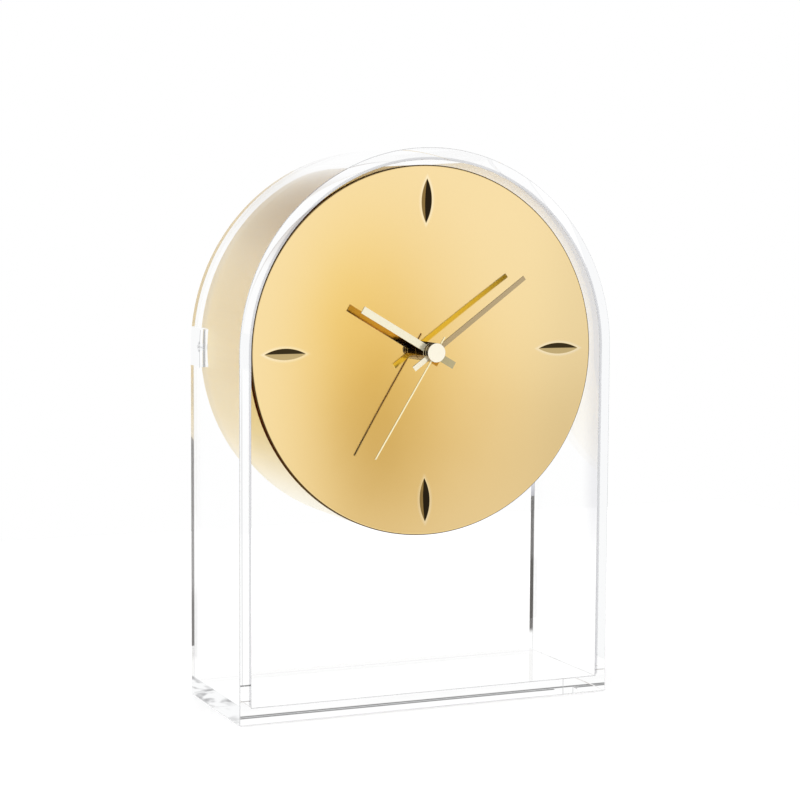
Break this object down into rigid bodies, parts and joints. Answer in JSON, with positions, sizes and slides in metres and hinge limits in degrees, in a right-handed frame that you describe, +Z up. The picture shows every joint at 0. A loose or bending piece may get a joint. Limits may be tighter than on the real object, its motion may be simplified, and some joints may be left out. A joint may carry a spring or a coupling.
{
  "type": "mystery clock",
  "caption": "Table clock: a gold drum with a dished dial and three hands, held by clear lugs in a clear acrylic arch, with a battery quartz movement inside.",
  "frame": {"origin": "middle of the clear case's footprint, on the surface that the clock stands on", "axes": "+X to the right of the dial, +Y to the back (the dial faces -Y), +Z up"},
  "size_m": [0.216, 0.086, 0.3],
  "materials": {
    "clear_acrylic": "polished clear acrylic",
    "dial_gold": "satin gold metallised plastic",
    "drum_gold": "satin pale gold metallised plastic",
    "hand_metal": "champagne anodised aluminium",
    "hub_metal": "gold plated, satin front face",
    "screw_steel": "zinc plated steel",
    "movement_black": "black moulded plastic",
    "gear_plastic": "natural white moulded plastic",
    "nut_brass": "turned brass",
    "washer_rubber": "black rubber",
    "stator_iron": "annealed iron sheet",
    "magnet_grey": "sintered magnet",
    "copper_wire": "enamelled copper wire",
    "board_green": "solder mask on a circuit board",
    "chip_resin": "black resin drop",
    "crystal_can": "drawn metal can",
    "battery_jacket": "plain dark sleeve with bright metal ends",
    "contact_metal": "nickel plated spring strip"
  },
  "bodies": {
    "case_and_drum": {"clear_case": "clear_acrylic", "lug_screws": "screw_steel", "drum_shell": "drum_gold", "dial": "dial_gold", "movement_lid": "movement_black", "movement_case": "movement_black", "train_plate": "movement_black", "mounting_nut": "nut_brass", "mounting_washer": "washer_rubber", "stator": "stator_iron", "coil_bobbin": "gear_plastic", "coil_winding": "copper_wire", "circuit_board": "board_green", "clock_chip": "chip_resin", "quartz_crystal": "crystal_can", "positive_contact": "contact_metal", "negative_contact": "contact_metal"},
    "minute_set": {"minute_arbor": "nut_brass", "minute_boss": "hub_metal", "minute_hand": "hand_metal"},
    "hour_set": {"hour_wheel": "gear_plastic", "hour_boss": "hub_metal", "hour_hand": "hand_metal"},
    "seconds_set": {"seconds_wheel": "gear_plastic", "seconds_boss": "hub_metal", "seconds_hand": "hand_metal", "hub_cap": "hub_metal"},
    "rotor_set": {"rotor": "gear_plastic", "rotor_magnet": "magnet_grey"},
    "fifth_set": {"fifth_wheel": "gear_plastic"},
    "third_set": {"third_wheel": "gear_plastic"},
    "centre_set": {"centre_wheel": "gear_plastic"},
    "motion_set": {"motion_wheel": "gear_plastic"},
    "knob_set": {"setting_knob": "movement_black"},
    "battery_set": {"battery": "battery_jacket"},
    "cover_set": {"rear_cover": "drum_gold"}
  },
  "joints": [
    {"name": "minute_hand_turn", "type": "hinge", "parent": "case_and_drum", "child": "minute_set", "pos_m": [0, -0.02, 0.192], "axis": [0, 1, 0], "continuous": true},
    {"name": "hour_hand_turn", "type": "hinge", "parent": "case_and_drum", "child": "hour_set", "pos_m": [0, -0.02, 0.192], "axis": [0, 1, 0], "continuous": true},
    {"name": "motion_wheel_turn", "type": "hinge", "parent": "case_and_drum", "child": "motion_set", "pos_m": [-0.008, -0.02, 0.192], "axis": [0, 1, 0], "continuous": true},
    {"name": "setting_knob_turn", "type": "hinge", "parent": "case_and_drum", "child": "knob_set", "pos_m": [-0.01488, -0.02, 0.18718], "axis": [0, 1, 0], "continuous": true},
    {"name": "seconds_hand_turn", "type": "hinge", "parent": "case_and_drum", "child": "seconds_set", "pos_m": [0, -0.02, 0.192], "axis": [0, 1, 0], "continuous": true},
    {"name": "fifth_wheel_turn", "type": "hinge", "parent": "case_and_drum", "child": "fifth_set", "pos_m": [-0.00742, -0.02, 0.19942], "axis": [0, 1, 0], "continuous": true},
    {"name": "rotor_turn", "type": "hinge", "parent": "case_and_drum", "child": "rotor_set", "pos_m": [-0.01419, -0.02, 0.20189], "axis": [0, 1, 0], "continuous": true},
    {"name": "third_wheel_turn", "type": "hinge", "parent": "case_and_drum", "child": "third_set", "pos_m": [0.00895, -0.02, 0.19526], "axis": [0, 1, 0], "continuous": true},
    {"name": "centre_wheel_turn", "type": "hinge", "parent": "case_and_drum", "child": "centre_set", "pos_m": [0, -0.02, 0.192], "axis": [0, 1, 0], "continuous": true},
    {"name": "battery_lift_out", "type": "slide", "parent": "case_and_drum", "child": "battery_set", "axis": [0, 1, 0], "range_m": [0, 0.016]},
    {"name": "rear_cover_pull_off", "type": "slide", "parent": "case_and_drum", "child": "cover_set", "axis": [0, 1, 0], "range_m": [0, 0.04]}
  ],
  "couplings": [
    {"joint": "hour_hand_turn", "follows": "minute_hand_turn", "ratio": 0.083333},
    {"joint": "motion_wheel_turn", "follows": "minute_hand_turn", "ratio": -0.33333},
    {"joint": "setting_knob_turn", "follows": "minute_hand_turn", "ratio": 0.83333},
    {"joint": "fifth_wheel_turn", "follows": "seconds_hand_turn", "ratio": -6},
    {"joint": "rotor_turn", "follows": "seconds_hand_turn", "ratio": 30},
    {"joint": "third_wheel_turn", "follows": "seconds_hand_turn", "ratio": -0.13333},
    {"joint": "centre_wheel_turn", "follows": "seconds_hand_turn", "ratio": 0.016667}
  ]
}
